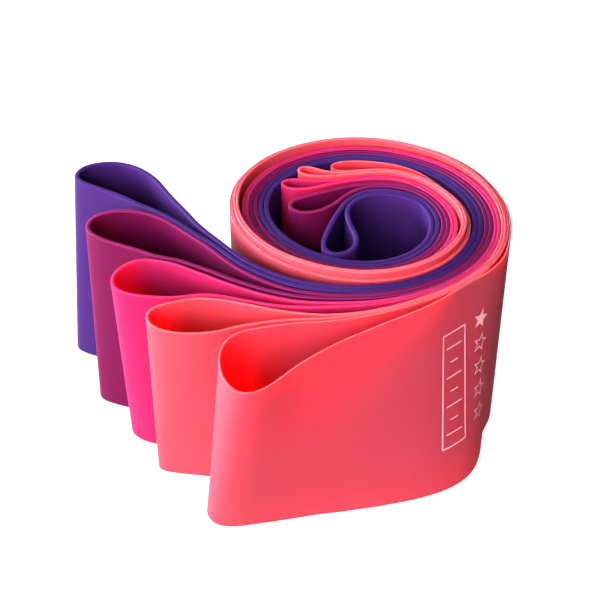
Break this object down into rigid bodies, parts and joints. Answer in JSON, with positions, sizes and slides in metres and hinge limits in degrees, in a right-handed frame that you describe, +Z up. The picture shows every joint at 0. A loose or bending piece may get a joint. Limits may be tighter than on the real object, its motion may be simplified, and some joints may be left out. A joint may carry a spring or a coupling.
{
  "type": "rolled set of loop resistance bands",
  "caption": "Flat latex loop bands of graded thickness and colour, stacked and rolled into a standing spiral roll, their free ends fanned out as open teardrop loops.",
  "frame": {"origin": "middle of the footprint, on the surface that the roll stands on", "axes": "+Z up along the width of the bands, +X from the open loops towards the roll, +Y from the coral band's open loop towards the far side of the roll"},
  "size_m": [0.0986, 0.0848, 0.05],
  "materials": {
    "coral_latex": "satin moulded latex, slightly translucent",
    "salmon_latex": "satin moulded latex, slightly translucent",
    "pink_latex": "satin moulded latex, slightly translucent",
    "plum_latex": "satin moulded latex, slightly translucent",
    "indigo_latex": "satin moulded latex, slightly translucent"
  },
  "bodies": {
    "coral": {"coral_band": "coral_latex"},
    "salmon": {"salmon_band": "salmon_latex"},
    "pink": {"pink_band": "pink_latex"},
    "plum": {"plum_band": "plum_latex"},
    "indigo": {"indigo_band": "indigo_latex"}
  },
  "joints": [
    {"name": "salmon_lift", "type": "slide", "parent": "coral", "child": "salmon", "axis": [0, 0, 1], "range_m": [0, 0.06]},
    {"name": "pink_lift", "type": "slide", "parent": "coral", "child": "pink", "axis": [0, 0, 1], "range_m": [0, 0.06]},
    {"name": "plum_lift", "type": "slide", "parent": "coral", "child": "plum", "axis": [0, 0, 1], "range_m": [0, 0.06]},
    {"name": "indigo_lift", "type": "slide", "parent": "coral", "child": "indigo", "axis": [0, 0, 1], "range_m": [0, 0.06]}
  ]
}
